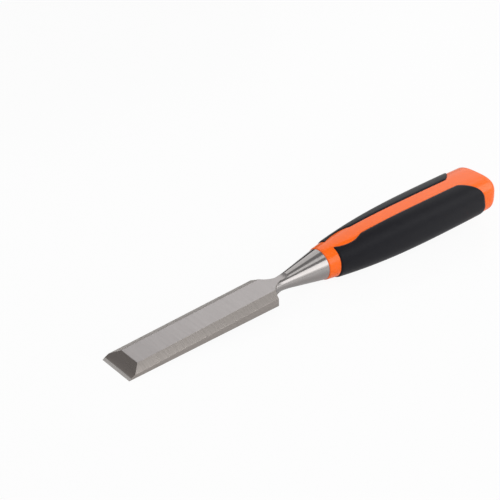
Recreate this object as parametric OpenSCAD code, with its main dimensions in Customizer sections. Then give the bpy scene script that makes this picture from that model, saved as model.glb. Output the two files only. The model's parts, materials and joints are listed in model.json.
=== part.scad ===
// Bevel-edged bench chisel with a two-material handle, lying on a bench.
// The tool is built along X from its cutting edge, with the flat back of the blade at z = 0,
// and is then laid down so that the cutting edge and the belly of the handle touch z = 0.

/* [Blade] */
// Width of the blade, which is the size that the chisel is sold by
blade_w = 22; // [16:1:32]
// Length of the blade from the cutting edge to the shoulders
blade_len = 90.4; // [60:0.1:130]
// Thickness that the tapered blade would have at the cutting edge
tip_t = 3.8; // [3:0.1:4.5]
// Thickness of the blade at the shoulders
root_t = 6.5; // [6:0.1:7]
// Width of each side bevel, seen from above
bevel_w = 4.5; // [2:0.1:5]
// Height that each side bevel takes off the blade
bevel_drop = 2; // [0.5:0.1:2.5]
// Angle of the ground bevel that forms the edge
edge_angle = 25; // [20:1:32]
// Angle of the narrow honed strip at the very edge
hone_angle = 33; // [33:1:40]
// Length of the honed strip, measured along the back
hone_len = 1.4; // [0.6:0.1:2.5]

/* [Neck and bolster] */
// Distance from the shoulders to the narrowest part of the neck
shoulder_run = 11; // [8:0.5:16]
// Diameter of the round neck
neck_d = 7.4; // [7:0.1:9]
// Width to which the shoulders sweep in at the neck
tongue_w = 3.2; // [2:0.1:3.4]
// Length of the ground flats beyond the narrowest part of the neck
grind_run = 3.6; // [2:0.1:5]
// Length of the conical bolster
bolster_len = 25.5; // [18:0.5:40]
// Diameter of the bolster where it meets the handle
bolster_d = 16.9; // [13:0.1:17.2]
// Height of the tool's axis above the back of the blade
axis_h = 3.5; // [3.2:0.1:3.8]

/* [Tang] */
// Length of the tang inside the handle
tang_len = 70; // [40:1:95]
// Width of the square tang at the bolster
tang_w = 8; // [6:0.1:9]
// Width of the square tang at its tip
tang_tip_w = 5; // [3:0.1:6]
// Gap between the tang and its socket on every side
tang_gap = 0.05; // [0:0.01:0.2]

/* [Handle] */
// Length of the handle
handle_len = 122.9; // [110:0.1:140]
// Diameter of the collar at the front of the handle
collar_d = 17.6; // [17.4:0.1:20]
// Rounding of the collar's front edge
collar_round = 0.6; // [0.2:0.1:1]
// Width of the handle at the butt, without the grips
handle_w = 28.8; // [26:0.1:34]
// Height of the handle at its belly, without the grips
handle_h = 22.4; // [20:0.1:27]
// Distance from the front of the handle to the deepest part of its belly
belly_at = 56; // [45:1:70]
// Height of the handle at the butt
butt_h = 20.9; // [18:0.1:23]
// Squareness of the butt's outline: 2 is an ellipse, and more is squarer
butt_square = 3.2; // [2.4:0.1:4]
// Rounding of the butt's edge
butt_round = 5.5; // [3:0.1:7]
// Rise of the butt's end face in its middle
butt_crown = 1; // [0.2:0.1:1.5]

/* [Grips] */
// Depth of each grip in its pocket
grip_depth = 2; // [1:0.1:3]
// Height that each grip stands proud of the handle
grip_proud = 0.6; // [0.2:0.1:1]
// Width of the rounding round each grip's rim
rim_round = 1.2; // [0.5:0.1:2]
// Distance from the front of the handle to the grips
grip_front = 6.9; // [5:0.1:12]
// Distance from the grips' rear ends to the butt
grip_rear = 12.1; // [9:0.1:20]
// Length over which each grip's rear edge slants away from the strip
rear_slant = 12.5; // [8:0.1:20]
// Distance that each grip's rear edge leans forwards at the top and back at the bottom
rear_lean = 2; // [0:0.1:2.5]
// Rounding of the grips' front corners
front_corner = 1.2; // [0.5:0.1:2]
// Width of the bare strip along the top and the bottom of the handle
strip_w = 8.4; // [6:0.1:12]
// Width of the thumb rest, the wide front end of the strip
thumb_w = 12; // [9:0.1:13]
// Length of the thumb rest
thumb_len = 18.6; // [14:0.1:30]

/* [Hidden] */
$fn = 96;

// Exponents of the handle's curves: how fast it widens, swells and turns from round to square
flare = 3.1;
swell = 2;
square_by = 0.6;
// Exponents of the thumb rest's outline and of the grips' slanting rear edge
thumb_skew = 1.3;
slant_curve = 1.35;
// Share of the half width at which each grip's rear edge ends in a short upright edge
rear_reach = 0.995;

// Places along the tool
neck_x = blade_len + shoulder_run;
handle_x = neck_x + bolster_len;
grind_x = neck_x + grind_run;
slab_x = neck_x + grind_run * 0.7;
grip_end = handle_len - grip_rear;

// The top of the blade slopes up towards the shoulders
taper = atan((root_t - tip_t) / blade_len);
// Sweep of each shoulder: an arc from the blade's corner to the tongue, parallel to the axis there
sweep_dy = (blade_w - tongue_w) / 2;
sweep_r = (pow(shoulder_run, 2) + pow(sweep_dy, 2)) / (2 * sweep_dy);

// Room that cutting shapes reach past what they cut
over = 20;

// Counts of facets: points round a section, sections along the handle, and steps in a rounding
ring_n = 56;
body_steps = 14;
round_steps = 5;
// Shares of the way across a grip, from its upper edge to its lower edge, closer at the rims and the corners
grip_across = [0, 0.012, 0.035, 0.08, 0.13, 0.18, 0.225, 0.27, 0.325, 0.4, 0.5, 0.6, 0.675, 0.73, 0.775, 0.82, 0.87,
    0.92, 0.965, 0.988, 1];
// Shares of the way along a grip, closer at its two ends and at the thumb rest
grip_along = [0, 0.004, 0.012, 0.03, 0.055, 0.085, 0.115, 0.145, 0.175, 0.21, 0.28, 0.37, 0.47, 0.58, 0.69, 0.79,
    0.87, 0.9, 0.925, 0.95, 0.97, 0.985, 1];

// Arc that rounds an edge: how far the surface lies back at a distance from the edge
function rounding(r, d) = d >= r ? 0 : r - sqrt(r * r - pow(r - max(0, d), 2));
function share(v) = min(1, max(0, v));
function signed_pow(v, e) = sign(v) * pow(abs(v), e);

// Half width and half height of the handle, and the squareness of its section, at a distance s from its front
function half_w(s) = handle_w / 2 - (handle_w - collar_d) / 2 * pow(1 - share(s / handle_len), flare);
function half_h(s) = s < belly_at
    ? handle_h / 2 - (handle_h - collar_d) / 2 * pow(1 - share(s / belly_at), swell)
    : handle_h / 2 - (handle_h - butt_h) / 2 * pow((s - belly_at) / (handle_len - belly_at), 2);
function square_n(s) = 2 + (butt_square - 2) * (1 - pow(1 - share(s / (square_by * handle_len)), 2));

// Point of the handle's section at an angle from the side, moved out by grow, with x from the handle's front
function section_point(s, angle, grow) =
    let (e = 2 / square_n(s))
    [s, (half_w(s) + grow) * signed_pow(cos(angle), e), (half_h(s) + grow) * signed_pow(sin(angle), e)];

// Half width of the bare strip between the grips, which ends at each grip's slanting rear edge
function thumb_bulge(s) =
    (thumb_w - strip_w) / 2 * sin(180 * pow(share((s - grip_front) / thumb_len), thumb_skew));
function slant(s) =
    (rear_reach * half_w(s) - strip_w / 2) * pow(share((s - grip_end + rear_slant) / rear_slant), slant_curve);
function strip_half(s) = strip_w / 2 + thumb_bulge(s) + rounding(front_corner, s - grip_front) + slant(s);
function grip_angle(s) = acos(pow(strip_half(s) / half_w(s), square_n(s) / 2));

// Height of a grip's outer face above the handle, which falls to nothing at its rim
function rim_distance(s, angle) =
    let (edge = section_point(s, sign(angle) * grip_angle(s), 0))
    min(norm(section_point(s, angle, 0) - edge), s - grip_front, grip_end - s);
function proud_at(s, angle) =
    let (left = 1 - share(rim_distance(s, angle) / rim_round))
    grip_proud * sqrt(1 - left * left);

// Point on a grip's face, moved towards the rear edge so that this edge leans
function grip_point(s, angle, grow) =
    let (lean = rear_lean * pow(share((s - grip_end + 2 * rear_slant) / (2 * rear_slant)), 2))
    section_point(s - lean * signed_pow(sin(angle), 2 / square_n(s)), angle, grow);

// Rows of points on a grip's face: its rounded outer face, or a face moved out by the same amount all over
function grip_s(i) = grip_front + grip_along[i] * (grip_end - grip_front);
function grip_a(s, j) = grip_angle(s) * (1 - 2 * grip_across[j]);
along_n = len(grip_along);
across_n = len(grip_across);
outer_face = [for (i = [0:along_n - 1], j = [0:across_n - 1])
    let (s = grip_s(i), a = grip_a(s, j)) grip_point(s, a, proud_at(s, a))];
function even_face(grow) = [for (i = [0:along_n - 1], j = [0:across_n - 1])
    let (s = grip_s(i)) grip_point(s, grip_a(s, j), grow)];

// The lie of the tool: the steepest line from the cutting edge down to the belly of a grip
rest_tilt = atan(max([for (p = outer_face) -(axis_h + p.z) / (handle_x + p.x)]));
laid_len = (handle_x + handle_len) * cos(rest_tilt) - axis_h * sin(rest_tilt);

// Lay the tool down with its middle over the origin
module lie_down() {
    translate([-laid_len / 2, 0, 0]) rotate([0, -rest_tilt, 0]) children();
}

// Put a shape whose own X axis is the axis of the handle, starting at its front
module at_handle() {
    translate([handle_x, 0, axis_h]) children();
}

// Turn a shape that is drawn along Z so that it runs along X, with its own X across and its own Y up
module along_x() {
    rotate([90, 0, 90]) children();
}

// Outline of the blade and tongue from above
module blade_outline() {
    difference() {
        translate([-over, -blade_w / 2]) square([over + slab_x, blade_w]);
        for (side = [-1, 1]) {
            translate([neck_x, side * (tongue_w / 2 + sweep_r)]) circle(sweep_r);
            translate([neck_x, side * (tongue_w / 2 + over / 2) - over / 2]) square([over, over]);
        }
    }
}

// Section of the blade before its top is ground flat: a ridge between the two side bevels
module blade_section() {
    slope = bevel_drop / bevel_w;
    flat_half = blade_w / 2 - bevel_w;
    foot = tip_t - slope * (blade_w - flat_half);
    polygon([
        [-blade_w, -over],
        [blade_w, -over],
        [blade_w, foot],
        [0, tip_t + slope * flat_half],
        [-blade_w, foot],
    ]);
}

// Side view of the blade before its back is ground flat: the honed strip and the ground bevel
module blade_side() {
    hone_h = hone_len * tan(hone_angle);
    bevel_run = (over - hone_h) / tan(edge_angle);
    polygon([
        [-over / tan(hone_angle), -over],
        [hone_len, hone_h],
        [hone_len + bevel_run, over],
        [grind_x, over],
        [grind_x, -over],
    ]);
}

module blade_slab() {
    intersection() {
        linear_extrude(2 * over, center = true) blade_outline();
        rotate([0, -taper, 0]) translate([-2 * over, 0, 0]) along_x()
            linear_extrude(grind_x + 4 * over) blade_section();
        rotate([90, 0, 0]) linear_extrude(2 * blade_w, center = true) blade_side();
    }
}

// Round neck and conical bolster, turned about the tool's axis, with a hollow sweep from one to the other
module bolster() {
    neck_r = neck_d / 2;
    cone = atan((bolster_d / 2 - neck_r) / bolster_len);
    sweep = 1.25 * grind_run;
    half_chord = sweep * cos(cone / 2);
    hollow_r = sweep / tan(cone / 2);
    hollow_out = sqrt(pow(hollow_r, 2) - pow(0.9 * half_chord, 2));
    neck_back = max(shoulder_run * 0.65, sweep + 1);
    translate([neck_x, 0, axis_h]) rotate([0, 90, 0]) rotate_extrude()
        difference() {
            polygon([
                [0, -neck_back],
                [neck_r, -neck_back],
                [neck_r, -sweep],
                [neck_r + sweep * sin(cone), sweep * cos(cone)],
                [bolster_d / 2, bolster_len],
                [0, bolster_len],
            ]);
            translate([neck_r, -sweep]) rotate(-cone / 2) translate([hollow_out, half_chord])
                circle(hollow_r, $fn = 360);
        }
}

// What grinding takes off the blade and the neck, above the flat top and below the flat back
module ground_off() {
    reach = 2 * over;
    rotate([0, -taper, 0]) translate([-reach, -blade_w, tip_t])
        cube([reach + grind_x / cos(taper), 2 * blade_w, reach]);
    translate([-reach, -blade_w, -reach]) cube([reach + grind_x, 2 * blade_w, reach]);
}

// Square tang that starts inside the bolster and narrows towards its tip, or with a gap its socket
module tang(gap) {
    rooted = 2;
    root_half = tang_w / 2 + (tang_w - tang_tip_w) / 2 * rooted / tang_len;
    module side_view() {
        polygon([
            [-rooted, -root_half - gap],
            [tang_len + gap, -tang_tip_w / 2 - gap],
            [tang_len + gap, tang_tip_w / 2 + gap],
            [-rooted, root_half + gap],
        ]);
    }
    at_handle() intersection() {
        linear_extrude(2 * tang_w, center = true) side_view();
        rotate([90, 0, 0]) linear_extrude(2 * tang_w, center = true) side_view();
    }
}

module blade() {
    color("silver") lie_down() {
        difference() {
            union() {
                blade_slab();
                bolster();
            }
            ground_off();
        }
        tang(0);
    }
}

// One length of the handle between two rings of points
function ring(s, inset) = [for (k = [0:ring_n - 1]) section_point(s, 360 * k / ring_n, -inset)];
module slab(front, back) {
    hull() polyhedron(
        concat(front, back),
        [[for (k = [0:ring_n - 1]) k], [for (k = [0:ring_n - 1]) ring_n + k]]
    );
}

// Solid handle: a round collar that widens to a squarish butt with a rounded, crowned end
module handle_solid() {
    round_end = handle_len - butt_crown;
    body_end = round_end - butt_round;
    collar = [for (k = [0:round_steps - 1]) collar_round * (1 - cos(90 * k / round_steps))];
    body = [for (k = [0:body_steps]) collar_round + (body_end - collar_round) * k / body_steps];
    butt = [for (k = [1:round_steps]) body_end + butt_round * sin(90 * k / round_steps)];
    stations = concat(collar, body, butt);
    rings = [for (s = stations) ring(s, rounding(collar_round, s) + rounding(butt_round, round_end - s))];
    for (i = [0:len(rings) - 2]) slab(rings[i], rings[i + 1]);
    crown_ring = [for (p = rings[len(rings) - 1]) [round_end + butt_crown * 3 / 4, p.y / 2, p.z / 2]];
    crown_tip = [for (p = crown_ring) [handle_len, p.y / 5, p.z / 5]];
    slab(rings[len(rings) - 1], crown_ring);
    slab(crown_ring, crown_tip);
}

// Closed body between a grip's outer face and its seat in the pocket
module grip_body(face) {
    seat = even_face(-grip_depth);
    n = along_n * across_n;
    last_i = along_n - 1;
    last_j = across_n - 1;
    function at(i, j) = i * across_n + j;
    function two(a, b, c, d) = [[a, b, c], [a, c, d]];
    outside = [for (i = [0:last_i - 1], j = [0:last_j - 1])
        each two(at(i, j), at(i, j + 1), at(i + 1, j + 1), at(i + 1, j))];
    inside = [for (t = outside) [t[2] + n, t[1] + n, t[0] + n]];
    function wall(a, b) = two(b, a, a + n, b + n);
    ends = [for (j = [0:last_j - 1])
        each concat(wall(at(0, j), at(0, j + 1)), wall(at(last_i, j + 1), at(last_i, j)))];
    edges = [for (i = [0:last_i - 1])
        each concat(wall(at(i + 1, 0), at(i, 0)), wall(at(i, last_j), at(i + 1, last_j)))];
    polyhedron(concat(face, seat), concat(outside, inside, ends, edges));
}

module handle_core() {
    color("orangered") lie_down() difference() {
        at_handle() handle_solid();
        at_handle() for (side = [0, 1]) mirror([0, side, 0]) grip_body(even_face(grip_depth));
        tang(tang_gap);
    }
}

module left_grip() {
    color([0.15, 0.15, 0.16]) lie_down() at_handle() mirror([0, 1, 0]) grip_body(outer_face);
}

module right_grip() {
    color([0.15, 0.15, 0.16]) lie_down() at_handle() grip_body(outer_face);
}

blade();
handle_core();
left_grip();
right_grip();
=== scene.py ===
import json
import math
from contextlib import contextmanager

import bmesh
import bpy
import numpy as np
from mathutils import Matrix, Vector
from mathutils.kdtree import KDTree


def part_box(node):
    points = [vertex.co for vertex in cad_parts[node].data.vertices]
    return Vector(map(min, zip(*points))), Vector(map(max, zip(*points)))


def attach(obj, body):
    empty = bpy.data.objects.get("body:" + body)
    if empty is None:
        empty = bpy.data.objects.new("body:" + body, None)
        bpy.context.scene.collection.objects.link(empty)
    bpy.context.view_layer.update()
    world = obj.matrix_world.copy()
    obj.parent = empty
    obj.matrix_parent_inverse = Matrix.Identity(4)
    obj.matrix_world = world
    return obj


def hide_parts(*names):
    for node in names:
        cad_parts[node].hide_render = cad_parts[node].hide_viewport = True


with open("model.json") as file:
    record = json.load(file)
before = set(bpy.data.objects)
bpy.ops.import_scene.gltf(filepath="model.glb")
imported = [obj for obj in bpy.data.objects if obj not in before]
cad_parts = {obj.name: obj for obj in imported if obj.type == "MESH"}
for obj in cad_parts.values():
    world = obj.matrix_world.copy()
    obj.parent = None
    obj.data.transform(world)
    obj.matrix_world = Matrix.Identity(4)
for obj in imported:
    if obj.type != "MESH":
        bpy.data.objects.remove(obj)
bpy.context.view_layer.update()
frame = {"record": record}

# Bench chisel lying on a pale floor. Sizes are in millimetres in the tool's own frame: X runs from
# the cutting edge to the butt, and the flat back of the blade is at z = 0. The finished meshes are
# laid down in metres.

MM = 0.001

# Blade
BLADE_W = 22.0
BLADE_LEN = 90.4
TIP_T = 3.8
ROOT_T = 6.5
BEVEL_W = 4.5
BEVEL_DROP = 2.0
EDGE_ANGLE = math.radians(25)
HONE_ANGLE = math.radians(33)
HONE_LEN = 1.4
# Crown of each side bevel, width of the broken edges and least length of an edge that is broken
BEVEL_CROWN = 0.03
EDGE_BREAK = 0.07
LONG_EDGE = 1.2

# Neck, bolster and tang
SHOULDER_RUN = 11.0
NECK_D = 7.4
TONGUE_W = 3.2
BOLSTER_LEN = 25.5
BOLSTER_D = 16.9
BOLSTER_ROUND = 0.25
AXIS_H = 3.5
TANG_LEN = 70.0
TANG_W = 8.0
TANG_TIP_W = 5.0
TANG_ROOT = 2.0
TANG_GAP = 0.05
# How far the grinding runs on to the neck, and the radius and the turn of the arc in which it ends
GRIND_RUN = 3.6
RUN_OUT = 8.0
RUN_OUT_TURN = math.radians(80)
# Parts of that run that the tongue takes up, and each half of the sweep from the neck to the cone
TONGUE_PART = 0.7
SWEEP_PART = 1.25
# Part of the shoulders' run that the neck reaches back, and its least length before the sweep
NECK_PART = 0.65
NECK_LEAST = 1.0

# Handle
HANDLE_LEN = 122.9
COLLAR_D = 17.6
COLLAR_ROUND = 0.6
HANDLE_W = 28.8
HANDLE_H = 22.4
BELLY_AT = 56.0
BUTT_H = 20.9
BUTT_SQUARE = 3.2
BUTT_ROUND = 5.5
BUTT_CROWN = 1.0
# Exponents of the growth in width and in height behind the collar, and the part of the length in
# which the section passes from round to squarish
FLARE = 3.1
SWELL = 2.0
SQUARE_BY = 0.6

# Grips
GRIP_DEPTH = 2.0
GRIP_PROUD = 0.525
RIM_ROUND = 1.2
GRIP_FRONT = 6.9
GRIP_REAR = 12.1
# Rear edge of the grips: length, exponent and reach of its slant, and how far it leans
REAR_SLANT = 12.5
SLANT_CURVE = 1.35
REAR_REACH = 0.995
REAR_LEAN = 2.0
# Bare strip between the grips and its thumb rest
STRIP_W = 8.4
THUMB_W = 12.0
THUMB_LEN = 18.6
THUMB_SKEW = 1.3
# Front of the strip: radius of the grips' corners, and how far and how long it narrows there
FRONT_CORNER = 0.6
FRONT_NARROW = 0.9
NARROW_RUN = 5.0
# Rounding of the handle's lip round each pocket, and the hairline between a grip and its pocket
LIP_ROUND = 0.3
SEAM_GAP = 0.05

# Places along the tool
NECK_X = BLADE_LEN + SHOULDER_RUN
HANDLE_X = NECK_X + BOLSTER_LEN
GRIND_X = NECK_X + GRIND_RUN
SLAB_X = NECK_X + TONGUE_PART * GRIND_RUN
GRIP_END = HANDLE_LEN - GRIP_REAR
ROUND_END = HANDLE_LEN - BUTT_CROWN
BODY_END = ROUND_END - BUTT_ROUND
TAPER = math.atan((ROOT_T - TIP_T) / BLADE_LEN)

# Counts of faces across a grip, across a strip and round the bolster
PAD_N = 64
STRIP_N = 56
TURN_N = 192
# Counts of steps in the rounding of the lips, the rims and the collar's edge
LIP_N = 3
RIM_N = 7
COLLAR_EDGE_N = 6
# Counts of rows along the collar, behind the grips, round the butt's edge and over its crown
COLLAR_N = 12
REAR_N = 10
BUTT_N = 15
CROWN_N = 16
# Counts of points on a shoulder, a bevel's crown, the sweep, the bolster's edge and the run-out
SHOULDER_N = 48
BEVEL_N = 9
SWEEP_N = 17
BOLSTER_EDGE_N = 5
RUN_OUT_N = 33
# Counts of points that a section is measured by, and that fill each part of an outline
FINE_N = 1500
FILL_N = 8

# Distances between rows along the grips and along their rear edges, and the last ring of the
# butt's crown as a part of the first
BODY_STEP = 0.8
REAR_STEP = 0.4
CROWN_LEAST = 0.02
# Room that cutting shapes reach past what they cut, and distance at which points of a mesh are one
OVER = 20.0
WELD = 0.0001
# Angles above which edges of the steel, the handle and the grips are shown sharp
SHARP_STEEL = math.radians(14)
SHARP_HANDLE = math.radians(50)
SHARP_GRIP = math.radians(60)

# Finishes of the steel: colour, roughness, and the streaks' size along X, Y and Z, contrast and
# height. The side bevels' colour is lighter than the flat's as painted light, and the main cutting
# bevel's darker as painted shade.
STEELS = {
    "flat": ((0.395, 0.371, 0.366), 0.34, (0.25, 14, 14), 0.015, 0.0006),
    # Side bevels: colour lighter than the flat's ground steel, painted light
    "side": ((0.635, 0.583, 0.546), 0.3, (0.8, 26, 26), 0.15, 0.001),
    "wall": ((0.35, 0.318, 0.297), 0.36, (8, 8, 0.4), 0.05, 0.002),
    # Main cutting bevel: colour darker than the flat's ground steel, painted shade
    "edge": ((0.255, 0.227, 0.212), 0.3, (0.4, 14, 14), 0.06, 0.001),
    "hone": ((0.4, 0.38, 0.366), 0.28, (0.3, 10, 10), 0.04, 0.001),
    "turned": ((0.355, 0.336, 0.328), 0.17, (0.35, 30, 30), 0.02, 0.0003),
}
FINISHES = list(STEELS)
# Part by which the steel's roughness varies, and the range in which most noise lies
ROUGH_SPREAD = 0.15
NOISE_LOW = 0.3
NOISE_HIGH = 0.7

# Soft lights: lowest and highest angle in degrees above the front horizon, brightness, and left and
# right end along the tool in metres. All are at one distance from the tool.
LIGHTS = {
    "front_light": (13, 46, 2.0, 0.03, 0.6),
    "fill_light": (13, 46, 0.9, -1.6, 0.03),
    "low_light": (3, 13, 0.8, -1.6, 1.6),
    "side_light": (10, 72, 2.4, 0.82, 2.2),
    "right_light": (72, 116, 0.9, 1.1, 2.6),
    "overhead_light": (65, 85, 1.15, -0.6, 0.29),
    "back_light": (112, 158, 0.85, 0.2, 1.5),
    "left_light": (60, 150, 0.9, -2.0, -0.75),
}
LIGHT_DISTANCE = 1.2

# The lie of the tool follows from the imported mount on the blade's back and from the cutting edge
back_axis = frame["record"]["mounts"][0]["axis"]
REST_TILT = math.atan2(back_axis[0], -back_axis[2])
EDGE_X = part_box("blade")[0].x
LAID = (
    Matrix.Translation((EDGE_X, 0, 0))
    @ Matrix.Rotation(-REST_TILT, 4, "Y")
    @ Matrix.Scale(MM, 4)
)


# Formulas of the handle's form, with s from the front of the handle and angles in radians

def share(v):
    """A value held between 0 and 1."""
    return np.clip(v, 0.0, 1.0)


def signed_pow(v, e):
    """A power that keeps the sign of its base."""
    return np.sign(v) * np.abs(v) ** e


def rounding(r, d):
    """How far a rounded edge lies back at a distance d from the edge."""
    left = np.clip(r - d, 0.0, r)
    return r - np.sqrt(r * r - left * left)


def half_w(s):
    """Half the handle's width, which grows all the way to the butt."""
    return HANDLE_W / 2 - (HANDLE_W - COLLAR_D) / 2 * (1 - share(s / HANDLE_LEN)) ** FLARE


def half_h(s):
    """Half the handle's height, which is greatest at the belly."""
    front = HANDLE_H / 2 - (HANDLE_H - COLLAR_D) / 2 * (1 - share(s / BELLY_AT)) ** SWELL
    behind = (s - BELLY_AT) / (HANDLE_LEN - BELLY_AT)
    back = HANDLE_H / 2 - (HANDLE_H - BUTT_H) / 2 * behind ** 2
    return np.where(s < BELLY_AT, front, back)


def square_n(s):
    """Exponent of the section: 2 is round, and more is squarish."""
    return 2 + (BUTT_SQUARE - 2) * (1 - (1 - share(s / (SQUARE_BY * HANDLE_LEN))) ** 2)


def section_point(s, angle, grow):
    """Points of the handle's section, moved out by grow, in the tool's frame."""
    e = 2 / square_n(s)
    y = (half_w(s) + grow) * signed_pow(np.cos(angle), e)
    z = (half_h(s) + grow) * signed_pow(np.sin(angle), e)
    return np.stack(np.broadcast_arrays(HANDLE_X + s, y, AXIS_H + z), axis=-1)


def grip_angle(s):
    """Angle of a grip's upper edge, where the bare strip ends."""
    thumb = share((s - GRIP_FRONT) / THUMB_LEN) ** THUMB_SKEW
    bulge = (THUMB_W - STRIP_W) / 2 * math.sin(math.pi * thumb)
    narrow = FRONT_NARROW * (1 - share((s - GRIP_FRONT) / NARROW_RUN)) ** 2
    slanted = share((s - GRIP_END + REAR_SLANT) / REAR_SLANT) ** SLANT_CURVE
    slant = (REAR_REACH * half_w(s) - STRIP_W / 2) * slanted
    strip_half = STRIP_W / 2 + bulge - narrow + rounding(FRONT_CORNER, s - GRIP_FRONT) + slant
    return math.acos((strip_half / half_w(s)) ** (square_n(s) / 2))


def skin_point(s, angle, grow):
    """Points of the handle's skin, on rows that lean near the grips' rear edges."""
    before = share((s - GRIP_END + 2 * REAR_SLANT) / (2 * REAR_SLANT)) ** 2
    after = (1 - share((s - GRIP_END) / (BODY_END - GRIP_END))) ** 2
    lean = REAR_LEAN * before * after
    return section_point(s - lean * signed_pow(np.sin(angle), 2 / square_n(s)), angle, grow)


def arc_steps(reach, n):
    """Distances from an edge that follow an arc of that reach in n even turns."""
    return reach * (1 - np.cos(np.linspace(0, math.pi / 2, n + 1)))


LIP_STEPS = arc_steps(LIP_ROUND, LIP_N)
RIM_STEPS = arc_steps(RIM_ROUND, RIM_N)


def spread_angles(s, start, end, steps, n, gap=0.0):
    """n + 1 angles on the section at s: by steps at both ends, and even in between."""
    fine = np.linspace(start, end, FINE_N)
    along = np.linalg.norm(np.diff(section_point(s, fine, 0.0), axis=0), axis=1)
    length = np.concatenate([[0.0], np.cumsum(along)])
    total = length[-1] - 2 * gap
    middle = np.linspace(steps[-1], total - steps[-1], n + 1 - 2 * (len(steps) - 1))
    places = np.concatenate([steps[:-1], middle, (total - steps[:-1])[::-1]])
    return np.interp(places + gap, length, fine)


def pad_angles(s, gap=0.0):
    """Angles across a grip, a gap inside its pocket."""
    edge = grip_angle(s)
    return spread_angles(s, -edge, edge, RIM_STEPS, PAD_N, gap)


def strip_angles(s):
    """Angles across the bare strip on top."""
    edge = grip_angle(s)
    return spread_angles(s, edge, math.pi - edge, LIP_STEPS, STRIP_N)


def grip_rows(gap=0.0):
    """Distances along the grips: close at both ends and fairly close along the rear edge."""
    start, end = GRIP_FRONT + gap, GRIP_END - gap
    front = start + RIM_STEPS
    slant = end - REAR_SLANT
    body = np.arange(front[-1] + BODY_STEP, slant, BODY_STEP)
    rear = np.arange(slant, end - RIM_ROUND - REAR_STEP / 2, REAR_STEP)
    return np.concatenate([front, body, rear, (end - RIM_STEPS)[::-1]])


# Meshes

def linked(name, data):
    """A new object in the scene."""
    made = bpy.data.objects.new(name, data)
    bpy.context.scene.collection.objects.link(made)
    return made


@contextmanager
def editing(mesh):
    """Opens a mesh for bmesh's operators, and puts the result back."""
    bm = bmesh.new()
    bm.from_mesh(mesh)
    yield bm
    bm.to_mesh(mesh)
    bm.free()


def grid_faces(n_rows, n_cols, closed, base=0):
    """Faces of a grid of points numbered from base; closed, its last column meets its first."""
    faces = []
    for i in range(n_rows - 1):
        for j in range(n_cols if closed else n_cols - 1):
            k = (j + 1) % n_cols
            corners = (i * n_cols + j, i * n_cols + k, (i + 1) * n_cols + k, (i + 1) * n_cols + j)
            faces.append([base + c for c in corners])
    return faces


class Skin:
    """Points and faces of a mesh that is put together from grids and welded where they meet."""

    def __init__(self):
        self.points = []
        self.faces = []

    def grid(self, rows, closed=False):
        """Adds rows of points and the faces between them."""
        rows = np.asarray(rows)
        n_rows, n_cols = rows.shape[:2]
        self.faces.extend(grid_faces(n_rows, n_cols, closed, len(self.points)))
        self.points.extend(map(tuple, rows.reshape(-1, 3)))

    def cap(self, ring):
        """Adds one face inside a ring of points."""
        base = len(self.points)
        self.points.extend(map(tuple, ring))
        self.faces.append(list(range(base, base + len(ring))))

    def build(self, name, sharp):
        """Welds the grids into one object."""
        mesh = bpy.data.meshes.new(name)
        mesh.from_pydata(self.points, [], self.faces)
        with editing(mesh) as bm:
            bmesh.ops.remove_doubles(bm, verts=bm.verts, dist=WELD)
            bmesh.ops.recalc_face_normals(bm, faces=bm.faces)
        return finished(name, mesh, sharp)


def finished(name, mesh, sharp):
    """An object of a mesh, laid down, and smooth but for edges sharper than an angle."""
    mesh.transform(LAID)
    mesh.shade_smooth()
    mesh.set_sharp_from_angle(angle=sharp)
    return linked(name, mesh)


def outline_distance(points, outline):
    """Distance of each point from a closed line of points, which is filled in closely first."""
    ends = np.roll(outline, -1, axis=0)
    dense = np.concatenate([outline + (ends - outline) * k / FILL_N for k in range(FILL_N)])
    tree = KDTree(len(dense))
    for i, p in enumerate(dense):
        tree.insert(p, i)
    tree.balance()
    flat = points.reshape(-1, 3)
    return np.array([tree.find(p)[2] for p in flat]).reshape(points.shape[:-1])


def around(rows):
    """The rim of a grid of points as one closed line."""
    return np.concatenate([rows[0, :-1], rows[:-1, -1], rows[-1, :0:-1], rows[:0:-1, 0]])


def turned(rows):
    """The same grid on the other side of the handle, by half a turn of its angles."""
    return rows + math.pi


# Handle and grips

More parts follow.
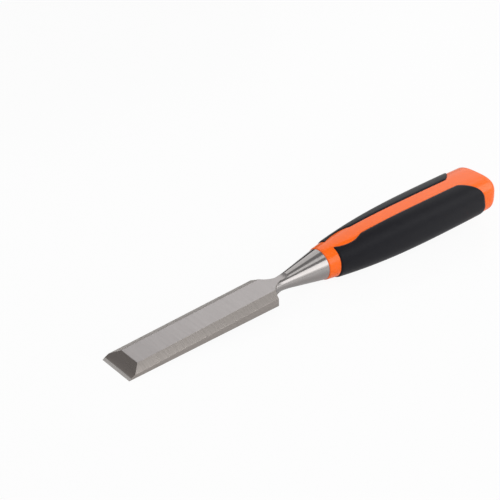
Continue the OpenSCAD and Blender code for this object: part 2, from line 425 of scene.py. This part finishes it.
def handle_core():
    """The hard handle, with pockets for the grips and a socket for the tang."""
    rows = grip_rows()
    pad = np.array([pad_angles(s) for s in rows])
    strip = np.array([strip_angles(s) for s in rows])
    s = rows[:, None]

    def ring(i):
        """Angles all round at a row of the grips."""
        sides = (pad[i, :-1], strip[i, :-1])
        return np.concatenate([*sides, *(turned(a) for a in sides)])

    columns = 2 * (PAD_N + STRIP_N)
    even = (np.arange(columns) - PAD_N / 2) * 2 * math.pi / columns
    seams = [around(skin_point(s, a, 0.0)) for a in (pad, turned(pad))]

    def with_lip(place, angle, inset):
        """Points of the skin, set in by inset and rounded towards the pockets."""
        skin = skin_point(place, angle, 0.0)
        nearest = np.minimum(*(outline_distance(skin, seam) for seam in seams))
        return skin_point(place, angle, -inset - rounding(LIP_ROUND, nearest))

    core = Skin()

    # Front: collar edge, collar and the lip before the grips, from even angles to the grips' own
    collar = np.concatenate([
        arc_steps(COLLAR_ROUND, COLLAR_EDGE_N),
        np.linspace(COLLAR_ROUND, GRIP_FRONT - LIP_ROUND, COLLAR_N)[1:],
        (GRIP_FRONT - LIP_STEPS)[-2::-1],
    ])[:, None]
    shift = share(collar / GRIP_FRONT)
    shift = shift * shift * (3 - 2 * shift)
    front_angles = even + (ring(0) - even) * shift
    front = with_lip(collar, front_angles, rounding(COLLAR_ROUND, collar))
    core.grid(front, closed=True)

    # Socket for the tang, from the collar's front face inwards
    reach = np.maximum(np.abs(np.cos(even)), np.abs(np.sin(even)))
    square = np.stack([np.zeros(columns), np.cos(even) / reach, np.sin(even) / reach], axis=-1)
    mouth = square * (TANG_W / 2 + TANG_GAP) + (HANDLE_X, 0, AXIS_H)
    depth = TANG_LEN + TANG_GAP
    floor = square * (TANG_TIP_W / 2 + TANG_GAP) + (HANDLE_X + depth, 0, AXIS_H)
    core.grid([front[0], mouth, floor], closed=True)
    core.cap(floor)

    # Bare strips on the top and the bottom, between the grips
    for angles in (strip, turned(strip)):
        core.grid(with_lip(s, angles, 0.0))

    # Rear: the lip behind the grips, the body and the rounded edge of the butt, back to even angles
    rear = np.concatenate([
        GRIP_END + LIP_STEPS,
        np.linspace(GRIP_END + LIP_ROUND, BODY_END, REAR_N)[1:],
        BODY_END + BUTT_ROUND * np.sin(np.linspace(0, math.pi / 2, BUTT_N))[1:],
    ])[:, None]
    shift = share((rear - GRIP_END) / (ROUND_END - GRIP_END))
    rear_angles = ring(-1) + (even - ring(-1)) * shift
    butt = with_lip(rear, rear_angles, rounding(BUTT_ROUND, ROUND_END - rear))
    core.grid(butt, closed=True)

    # Crowned end face
    middle = np.array([HANDLE_X + ROUND_END, 0, AXIS_H])
    crown = []
    for t in np.linspace(1, CROWN_LEAST, CROWN_N):
        rise = np.array([BUTT_CROWN * (1 - t * t), 0, 0])
        crown.append(middle + (butt[-1] - middle) * t + rise)
    core.grid(crown, closed=True)
    core.cap(crown[-1])

    # Pockets for the grips
    for angles in (pad, turned(pad)):
        floor = skin_point(s, angles, -GRIP_DEPTH)
        core.grid(floor)
        lip = around(skin_point(s, angles, -LIP_ROUND))
        core.grid([lip, around(floor)], closed=True)
    return core.build("handle_core_shell", SHARP_HANDLE)


def grip(name, far_side):
    """A soft grip with a rounded rim, a hairline inside its pocket."""
    rows = grip_rows(SEAM_GAP)
    angles = np.array([pad_angles(s, SEAM_GAP) for s in rows])
    if not far_side:
        angles = turned(angles)
    s = rows[:, None]
    skin = skin_point(s, angles, 0.0)
    left = 1 - share(outline_distance(skin, around(skin)) / RIM_ROUND)
    face = skin_point(s, angles, GRIP_PROUD * np.sqrt(1 - left * left))
    seat = skin_point(s, angles, SEAM_GAP - GRIP_DEPTH)
    body = Skin()
    body.grid(face)
    body.grid(seat)
    body.grid([around(face), around(seat)], closed=True)
    return body.build(name, SHARP_GRIP)


# Blade

def tube_faces(n_rings, n):
    """Faces of a closed tube of rings of n points: its sides and then its two ends."""
    last = (n_rings - 1) * n
    ends = [list(range(n)), list(range(last, last + n))]
    return grid_faces(n_rings, n, closed=True) + ends


def solid(points, faces, finishes):
    """A closed mesh object in the tool's frame, with the number of a finish on each face."""
    mesh = bpy.data.meshes.new("solid")
    mesh.from_pydata([tuple(p) for p in points], [], faces)
    for finish in FINISHES:
        mesh.materials.append(bpy.data.materials.get("steel_" + finish))
    mesh.polygons.foreach_set("material_index", [FINISHES.index(f) for f in finishes])
    with editing(mesh) as bm:
        bmesh.ops.recalc_face_normals(bm, faces=bm.faces)
    return linked("solid", mesh)


def prism(outline, place, low, high, finishes):
    """An outline pushed from low to high; place(u, v, w) puts a point of it in the tool's frame."""
    points = [place(u, v, w) for w in (low, high) for u, v in outline]
    return solid(points, tube_faces(2, len(outline)), [*finishes, "wall", "wall"])


def lathe(profile):
    """A profile of (x, radius) points, closed on the tool's axis, turned about it."""
    angles = np.linspace(0, 2 * math.pi, TURN_N, endpoint=False)
    points = [(x, r * math.sin(a), AXIS_H + r * math.cos(a)) for x, r in profile for a in angles]
    faces = tube_faces(len(profile), TURN_N)
    return solid(points, faces, ["turned"] * len(faces))


def combine(shape, operation, other):
    """Joins, cuts or intersects shape with other, and takes other out of the scene."""
    change = shape.modifiers.new("combine", "BOOLEAN")
    change.operation = operation
    change.solver = "EXACT"
    change.object = other
    bpy.context.view_layer.update()
    graph = bpy.context.evaluated_depsgraph_get()
    made = bpy.data.meshes.new_from_object(shape.evaluated_get(graph))
    shape.modifiers.clear()
    shape.data = made
    bpy.data.objects.remove(other)


def tapered(x, y, z):
    """A point of the sloping top of the blade, given along and square to it."""
    cos = math.cos(TAPER)
    sin = math.sin(TAPER)
    return (x * cos - z * sin, y, x * sin + z * cos)


def blade_outline():
    """The blade and its tongue from above: straight sides, then arcs that sweep in to the neck."""
    rise = (BLADE_W - TONGUE_W) / 2
    radius = (SHOULDER_RUN ** 2 + rise ** 2) / (2 * rise)
    full = math.asin(SHOULDER_RUN / radius)
    centre = TONGUE_W / 2 + radius
    turns = np.linspace(full, 0, SHOULDER_N)
    half = [(-OVER, -BLADE_W / 2)]
    half += [(NECK_X - radius * math.sin(t), radius * math.cos(t) - centre) for t in turns]
    half.append((SLAB_X, -TONGUE_W / 2))
    return half + [(x, -y) for x, y in reversed(half)]


def blade_slab():
    """The blade and its tongue: where its outline, its bevelled section and its side view meet."""
    slope = BEVEL_DROP / BEVEL_W
    flat_half = BLADE_W / 2 - BEVEL_W
    foot = TIP_T - slope * (BLADE_W - flat_half)
    hone_h = HONE_LEN * math.tan(HONE_ANGLE)
    bevel_end = HONE_LEN + (OVER - hone_h) / math.tan(EDGE_ANGLE)

    def crowned(y):
        """Height of a side bevel at a distance y from the middle."""
        out = y - flat_half
        return TIP_T - slope * out + BEVEL_CROWN * (1 - (2 * out / BEVEL_W - 1) ** 2)

    crown = [(y, crowned(y)) for y in np.linspace(flat_half, BLADE_W / 2, BEVEL_N)]
    outline = blade_outline()
    slab = prism(outline, lambda x, y, z: (x, y, z), -OVER, OVER, ["wall"] * len(outline))
    section = [
        (-BLADE_W, -OVER),
        (BLADE_W, -OVER),
        (BLADE_W, foot),
        *reversed(crown),
        (0, TIP_T + slope * flat_half),
        *((-y, z) for y, z in crown),
        (-BLADE_W, foot),
    ]
    roof = prism(
        section,
        lambda y, z, x: tapered(x, y, z),
        -2 * OVER,
        GRIND_X + 2 * OVER,
        ["flat", "wall", *["side"] * (2 * len(crown) + 2), "wall"],
    )
    side = [
        (-OVER / math.tan(HONE_ANGLE), -OVER),
        (HONE_LEN, hone_h),
        (bevel_end, OVER),
        (GRIND_X, OVER),
        (GRIND_X, -OVER),
    ]
    profile = prism(
        side,
        lambda x, z, y: (x, y, z),
        -BLADE_W,
        BLADE_W,
        ["hone", "edge", "flat", "wall", "flat"],
    )
    combine(slab, "INTERSECT", roof)
    combine(slab, "INTERSECT", profile)
    return slab


def bolster():
    """Round neck that sweeps out into a cone with a slightly rounded rear edge."""
    neck_r = NECK_D / 2
    cone = math.atan((BOLSTER_D / 2 - neck_r) / BOLSTER_LEN)
    sweep = SWEEP_PART * GRIND_RUN
    start = np.array([-sweep, neck_r])
    bend = np.array([0.0, neck_r])
    end = bend + sweep * np.array([math.cos(cone), math.sin(cone)])
    curve = [
        start * (1 - t) ** 2 + bend * 2 * t * (1 - t) + end * t * t
        for t in np.linspace(0, 1, SWEEP_N)
    ]
    neck_back = max(NECK_PART * SHOULDER_RUN, sweep + NECK_LEAST)
    rim_x = BOLSTER_LEN - BOLSTER_ROUND
    rim_r = BOLSTER_D / 2 - BOLSTER_ROUND
    rim = [
        (rim_x + BOLSTER_ROUND * math.sin(t), rim_r + BOLSTER_ROUND * math.cos(t))
        for t in np.linspace(0, math.pi / 2, BOLSTER_EDGE_N)
    ]
    profile = [(-neck_back, neck_r), *curve, *rim]
    return lathe([(NECK_X + x, r) for x, r in profile])


def grinding(level, place):
    """What a wheel takes off a face of the blade above a level, ending in an arc on the neck."""
    start = GRIND_X - RUN_OUT / 2
    reach = 2 * OVER
    turns = np.linspace(0, RUN_OUT_TURN, RUN_OUT_N)
    profile = [(-reach, level)]
    profile += [
        (start + RUN_OUT * math.sin(a), level + RUN_OUT * (1 - math.cos(a)))
        for a in turns
    ]
    profile += [(start + RUN_OUT, reach), (-reach, reach)]
    finishes = ["flat"] * len(profile)
    return prism(profile, lambda x, z, y: place(x, y, z), -BLADE_W, BLADE_W, finishes)


def tang():
    """Square tang, rooted in the bolster, that narrows to its tip."""
    root_half = TANG_W / 2 + (TANG_W - TANG_TIP_W) / 2 * TANG_ROOT / TANG_LEN
    tip_half = TANG_TIP_W / 2
    corners = [(-1, -1), (1, -1), (1, 1), (-1, 1)]
    points = [(HANDLE_X - TANG_ROOT, y * root_half, AXIS_H + z * root_half) for y, z in corners]
    points += [(HANDLE_X + TANG_LEN, y * tip_half, AXIS_H + z * tip_half) for y, z in corners]
    faces = tube_faces(2, len(corners))
    return solid(points, faces, ["wall"] * len(faces))


def break_edges(mesh):
    """Takes the sharpness off the long edges between ground faces, apart from the cutting edge."""
    ground = [FINISHES.index(f) for f in ("flat", "side", "wall", "edge")]
    with editing(mesh) as bm:
        chosen = [
            e for e in bm.edges
            if len(e.link_faces) == 2
            and all(f.material_index in ground for f in e.link_faces)
            and e.calc_face_angle() > SHARP_STEEL
            and e.calc_length() > LONG_EDGE
            and max(v.co.x for v in e.verts) < NECK_X
        ]
        bmesh.ops.bevel(
            bm,
            geom=chosen,
            offset=EDGE_BREAK,
            segments=2,
            profile=0.5,
            affect="EDGES",
            material=-1,
        )
        bmesh.ops.remove_doubles(bm, verts=bm.verts, dist=WELD)


def blade():
    """Blade, neck, bolster and tang in one piece of steel."""
    shape = blade_slab()
    combine(shape, "UNION", bolster())
    combine(shape, "DIFFERENCE", grinding(TIP_T, tapered))
    combine(shape, "DIFFERENCE", grinding(0, lambda x, y, z: (x, y, -z)))
    combine(shape, "UNION", tang())
    mesh = shape.data
    mesh.name = "blade_steel"
    bpy.data.objects.remove(shape)
    break_edges(mesh)
    return finished("blade_steel", mesh, SHARP_STEEL)


# Materials

def material(name, colour, roughness, metallic=0.0):
    """A material with one Principled shader; returns the material, its tree and the shader."""
    made = bpy.data.materials.new(name)
    made.use_nodes = True
    shader = made.node_tree.nodes["Principled BSDF"]
    shader.inputs["Base Color"].default_value = (*colour, 1)
    shader.inputs["Roughness"].default_value = roughness
    shader.inputs["Metallic"].default_value = metallic
    return made, made.node_tree, shader


def noise(tree, size, detail):
    """Noise whose grains measure size = (x, y, z) millimetres on the object."""
    place = tree.nodes.new("ShaderNodeTexCoord")
    scaled = tree.nodes.new("ShaderNodeMapping")
    scaled.inputs["Scale"].default_value = [1 / (MM * d) for d in size]
    grain = tree.nodes.new("ShaderNodeTexNoise")
    grain.inputs["Scale"].default_value = 1.0
    grain.inputs["Detail"].default_value = detail
    tree.links.new(place.outputs["Object"], scaled.inputs["Vector"])
    tree.links.new(scaled.outputs["Vector"], grain.inputs["Vector"])
    return grain.outputs["Fac"]


def spread(tree, value, low, high):
    """Maps noise to a range."""
    ranged = tree.nodes.new("ShaderNodeMapRange")
    ranged.inputs["From Min"].default_value = NOISE_LOW
    ranged.inputs["From Max"].default_value = NOISE_HIGH
    ranged.inputs["To Min"].default_value = low
    ranged.inputs["To Max"].default_value = high
    tree.links.new(value, ranged.inputs["Value"])
    return ranged.outputs["Result"]


def two_tones(tree, value, low, high):
    """Mixes two colours by noise."""
    mix = tree.nodes.new("ShaderNodeMix")
    mix.data_type = "RGBA"
    mix.inputs["A"].default_value = (*low, 1)
    mix.inputs["B"].default_value = (*high, 1)
    tree.links.new(spread(tree, value, 0.0, 1.0), mix.inputs["Factor"])
    return mix.outputs["Result"]


def bumped(tree, shader, value, height):
    """Raises the surface by noise, up to a height in millimetres."""
    bump = tree.nodes.new("ShaderNodeBump")
    bump.inputs["Strength"].default_value = 1.0
    bump.inputs["Distance"].default_value = height * MM
    tree.links.new(value, bump.inputs["Height"])
    tree.links.new(bump.outputs["Normal"], shader.inputs["Normal"])


def steel(finish, colour, roughness, grain, contrast, height):
    """Ground or turned steel whose scratches have a size and a direction."""
    tree, shader = material("steel_" + finish, colour, roughness, metallic=1.0)[1:]
    streaks = noise(tree, grain, detail=4.0)
    low = [c * (1 - contrast) for c in colour]
    high = [c * (1 + contrast) for c in colour]
    tree.links.new(two_tones(tree, streaks, low, high), shader.inputs["Base Color"])
    dull = roughness * (1 + ROUGH_SPREAD)
    bright = roughness * (1 - ROUGH_SPREAD)
    tree.links.new(spread(tree, streaks, dull, bright), shader.inputs["Roughness"])
    bumped(tree, shader, streaks, height)


def handle_plastic():
    """Orange moulded plastic, slightly mottled and with a fine grain."""
    made, tree, shader = material("orange_plastic", (1.0, 0.14, 0.003), 0.18)
    shader.inputs["Specular IOR Level"].default_value = 0.36
    mottle = noise(tree, (7, 7, 7), detail=2.0)
    grain = noise(tree, (0.35, 0.35, 0.35), detail=2.0)
    tones = two_tones(tree, mottle, (0.97, 0.134, 0.002), (1.0, 0.146, 0.004))
    tree.links.new(tones, shader.inputs["Base Color"])
    tree.links.new(spread(tree, mottle, 0.16, 0.2), shader.inputs["Roughness"])
    bumped(tree, shader, grain, 0.002)
    return made


def grip_rubber():
    """Black soft rubber with a dull sheen and a fine grain."""
    made, tree, shader = material("black_rubber", (0.004, 0.004, 0.007), 0.5)
    shader.inputs["Specular IOR Level"].default_value = 0.15
    shader.inputs["Sheen Weight"].default_value = 0.17
    shader.inputs["Sheen Roughness"].default_value = 0.4
    mottle = noise(tree, (9, 9, 9), detail=2.0)
    grain = noise(tree, (0.3, 0.3, 0.3), detail=3.0)
    tones = two_tones(tree, mottle, (0.0035, 0.0035, 0.0065), (0.0045, 0.0045, 0.0075))
    tree.links.new(tones, shader.inputs["Base Color"])
    tree.links.new(spread(tree, grain, 0.46, 0.54), shader.inputs["Roughness"])
    bumped(tree, shader, grain, 0.02)
    return made


def floor_paint():
    """Glossy pale paint, nearly white to the camera and partly so in reflections."""
    made, tree, shader = material("pale_floor", (0.68, 0.68, 0.68), 0.2)
    path = tree.nodes.new("ShaderNodeLightPath")
    white = tree.nodes.new("ShaderNodeEmission")
    mix = tree.nodes.new("ShaderNodeMixShader")
    whiteness = {"Is Camera Ray": 0.94, "Is Glossy Ray": 0.35, "Is Transmission Ray": 0.35}
    added = None
    for ray, part in whiteness.items():
        weighed = tree.nodes.new("ShaderNodeMath")
        weighed.operation = "MULTIPLY_ADD"
        weighed.use_clamp = True
        weighed.inputs[1].default_value = part
        weighed.inputs[2].default_value = 0.0
        tree.links.new(path.outputs[ray], weighed.inputs[0])
        if added:
            tree.links.new(added.outputs["Value"], weighed.inputs[2])
        added = weighed
    tree.links.new(added.outputs["Value"], mix.inputs["Fac"])
    tree.links.new(shader.outputs["BSDF"], mix.inputs[1])
    tree.links.new(white.outputs["Emission"], mix.inputs[2])
    tree.links.new(mix.outputs["Shader"], tree.nodes["Material Output"].inputs["Surface"])
    return made


# Pieces on the frame

for finish, look in STEELS.items():
    steel(finish, *look)
orange = handle_plastic()
black = grip_rubber()

core_piece = handle_core()
core_piece.data.materials.append(orange)
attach(core_piece, "root")
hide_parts("handle_core")

for side in ("left", "right"):
    grip_piece = grip(side + "_grip_pad", side == "right")
    grip_piece.data.materials.append(black)
    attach(grip_piece, "root")
    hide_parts(side + "_grip")

blade_piece = blade()
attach(blade_piece, "root")
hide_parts("blade")


# Floor, light and camera, in metres

def stage_sheet(name, corners, paint):
    """A flat sheet with four corners that isn't part of the object."""
    mesh = bpy.data.meshes.new(name)
    mesh.from_pydata(corners, [], [[0, 1, 2, 3]])
    mesh.materials.append(paint)
    made = linked(name, mesh)
    return made


def stage_floor():
    """The floor that the tool lies on."""
    half = 4.0
    corners = [(-half, -half, 0), (half, -half, 0), (half, half, 0), (-half, half, 0)]
    stage_sheet("floor", corners, floor_paint())


def dark_flag():
    """A dark screen behind the tool that only reflections show, for the steel's far edges."""
    y, left, right, height = 0.6, -1.2, 0.47, 0.2
    corners = [(left, y, 0), (right, y, 0), (right, y, height), (left, y, height)]
    made = stage_sheet("flag", corners, material("flag_cloth", (0.03, 0.03, 0.03), 0.9)[0])
    made.visible_camera = False
    made.visible_diffuse = False
    made.visible_shadow = False


def soft_light(name, low, high, brightness, left, right):
    """A soft light along the tool that fills the angles from low to high above the horizon."""
    length = right - left
    middle = math.radians(low + high) / 2
    width = 2 * LIGHT_DISTANCE * math.tan(math.radians(high - low) / 2)
    lamp = bpy.data.lights.new(name, "AREA")
    lamp.shape = "RECTANGLE"
    lamp.size = length
    lamp.size_y = width
    lamp.energy = brightness * math.pi * length * width
    made = linked(name, lamp)
    made.location = (
        (left + right) / 2,
        -LIGHT_DISTANCE * math.cos(middle),
        LIGHT_DISTANCE * math.sin(middle),
    )
    made.rotation_euler = (math.pi / 2 - middle, 0, 0)
    made.visible_camera = False


def soft_world():
    """Even light from all round, paler near the horizon than overhead."""
    world = bpy.data.worlds.new("studio")
    bpy.context.scene.world = world
    world.use_nodes = True
    tree = world.node_tree
    place = tree.nodes.new("ShaderNodeTexCoord")
    parts = tree.nodes.new("ShaderNodeSeparateXYZ")
    ranged = tree.nodes.new("ShaderNodeMapRange")
    ranged.inputs["From Min"].default_value = 0.05
    ranged.inputs["From Max"].default_value = 0.6
    ranged.inputs["To Min"].default_value = 0.8
    ranged.inputs["To Max"].default_value = 0.36
    tree.links.new(place.outputs["Generated"], parts.inputs["Vector"])
    tree.links.new(parts.outputs["Z"], ranged.inputs["Value"])
    tree.links.new(ranged.outputs["Result"], tree.nodes["Background"].inputs["Strength"])
    tree.nodes["Background"].inputs["Color"].default_value = (1, 1, 1, 1)


def photo_camera():
    """Camera at the viewing angle: azimuth and elevation of the viewer, roll and place."""
    azimuth = math.radians(-39.531)
    elevation = math.radians(30.364)
    roll = math.radians(0.159)
    place = (-0.379675, -0.406595, 0.343800)
    back = Vector((
        math.sin(azimuth) * math.cos(elevation),
        -math.cos(azimuth) * math.cos(elevation),
        math.sin(elevation),
    ))
    level = Vector((math.cos(azimuth), math.sin(azimuth), 0))
    upright = back.cross(level)
    right = level * math.cos(roll) + upright * math.sin(roll)
    up = upright * math.cos(roll) - level * math.sin(roll)
    lens = bpy.data.cameras.new("camera")
    lens.sensor_width = 36.0
    lens.lens = 90.73
    made = linked("camera", lens)
    turn = Matrix((right, up, back)).transposed()
    made.matrix_world = Matrix.Translation(place) @ turn.to_4x4()
    bpy.context.scene.camera = made


stage_floor()
dark_flag()
for name, light in LIGHTS.items():
    soft_light(name, *light)
soft_world()
photo_camera()
bpy.context.scene.view_settings.view_transform = "Standard"
